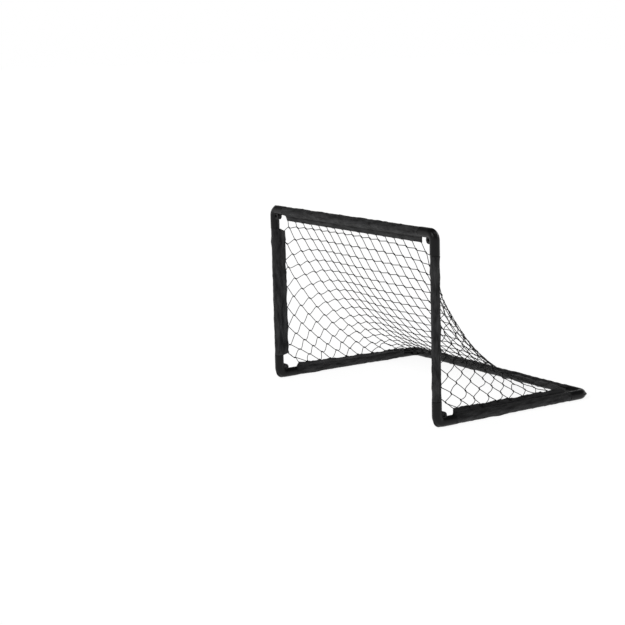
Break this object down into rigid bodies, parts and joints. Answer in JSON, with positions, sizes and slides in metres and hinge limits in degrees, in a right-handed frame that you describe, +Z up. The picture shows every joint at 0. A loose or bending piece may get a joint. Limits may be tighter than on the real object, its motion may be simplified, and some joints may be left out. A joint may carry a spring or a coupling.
{
  "type": "small sports goal with net",
  "caption": "Free-standing small goal: tubes in fabric sleeves, plugged into moulded corner elbows with eyelets, and a knotless mesh net sewn to the sleeves.",
  "frame": {"origin": "on the floor, at the middle of the footprint", "axes": "+Z up; the mouth faces -Y and the back bar lies at +Y; +X is to the right seen from in front of the mouth"},
  "size_m": [0.9, 0.61, 0.59],
  "materials": {
    "moulded_plastic": "satin moulded, black",
    "tube_plastic": "extruded, black",
    "woven_sleeve": "plain-woven polyester, black",
    "net_twine": "twisted polyethylene twine, black"
  },
  "bodies": {
    "root": {"top_left_elbow": "moulded_plastic", "top_right_elbow": "moulded_plastic", "front_left_elbow": "moulded_plastic", "front_right_elbow": "moulded_plastic", "back_left_elbow": "moulded_plastic", "back_right_elbow": "moulded_plastic", "crossbar_tube": "tube_plastic", "crossbar_sleeve": "woven_sleeve", "back_bar_tube": "tube_plastic", "back_bar_sleeve": "woven_sleeve", "left_post_tube": "tube_plastic", "left_post_sleeve": "woven_sleeve", "right_post_tube": "tube_plastic", "right_post_sleeve": "woven_sleeve", "left_side_bar_tube": "tube_plastic", "left_side_bar_sleeve": "woven_sleeve", "right_side_bar_tube": "tube_plastic", "right_side_bar_sleeve": "woven_sleeve", "net": "net_twine"}
  },
  "joints": []
}
